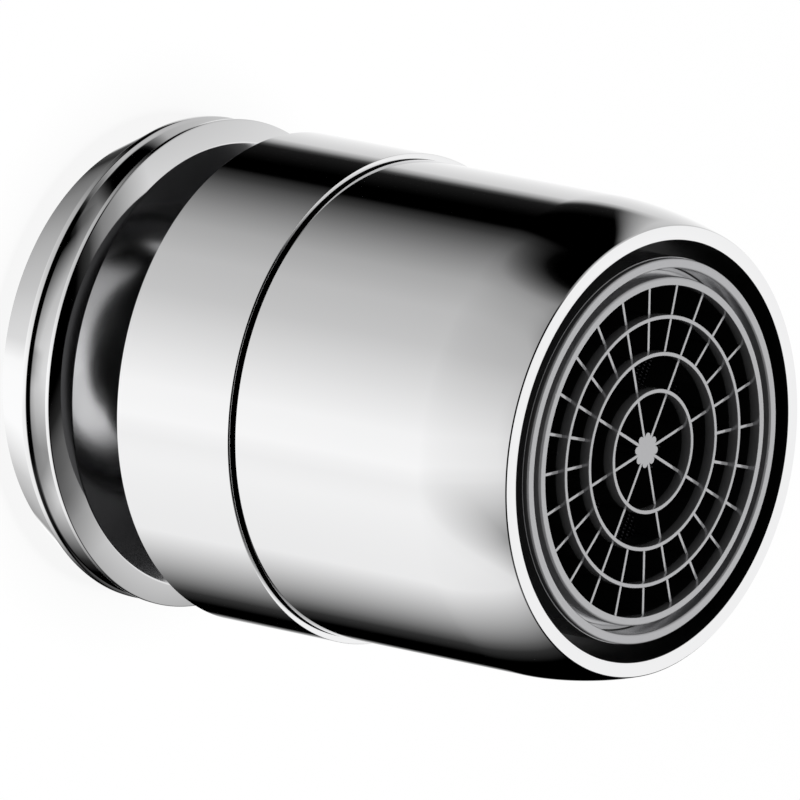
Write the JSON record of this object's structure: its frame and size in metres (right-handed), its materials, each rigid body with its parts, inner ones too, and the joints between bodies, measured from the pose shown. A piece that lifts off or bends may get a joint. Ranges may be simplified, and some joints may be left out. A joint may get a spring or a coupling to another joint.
{
  "type": "swivel tap aerator",
  "caption": "Chromed tap aerator with a ball joint: a flared threaded collar, a dished neck, a two-part barrel body and a grey ring-and-spoke outlet grid.",
  "frame": {"origin": "centre of the collar's tap-side face, which is the face it stands on", "axes": "+Z along the axis towards the outlet, +X along the ball joint's tilt axis"},
  "size_m": [0.0272, 0.0272, 0.0363],
  "materials": {
    "chromed_brass": "bright chrome plate on brass",
    "rubber": "matt black rubber",
    "slip_plastic": "black acetal",
    "insert_grey": "moulded grey plastic",
    "insert_white": "moulded white plastic",
    "screen_steel": "woven stainless wire"
  },
  "bodies": {
    "nipple": {"ball_nipple": "chromed_brass", "tap_washer": "rubber"},
    "ball_seal": {"ball_oring": "rubber"},
    "socket": {"rear_slip_ring": "slip_plastic", "seat_ring": "slip_plastic", "seat_oring": "rubber"},
    "housing": {"retaining_sleeve": "chromed_brass", "nose_housing": "chromed_brass", "insert_gasket": "rubber", "strainer": "insert_white", "regulator_body": "insert_white", "regulator_oring": "rubber", "jet_plate": "insert_white", "insert_housing": "insert_grey", "upper_screen": "screen_steel", "screen_spacer": "insert_white", "lower_screen": "screen_steel", "outlet_grid": "insert_grey"}
  },
  "joints": [
    {"name": "swivel", "type": "hinge", "parent": "nipple", "child": "ball_seal", "pos_m": [0, 0, 0.01739], "axis": [0, 0, 1], "continuous": true},
    {"name": "tilt", "type": "hinge", "parent": "ball_seal", "child": "socket", "pos_m": [0, 0, 0.01739], "axis": [1, 0, 0], "range_deg": [-15, 15]},
    {"name": "spin", "type": "hinge", "parent": "socket", "child": "housing", "pos_m": [0, 0, 0.01739], "axis": [0, 0, 1], "continuous": true}
  ]
}
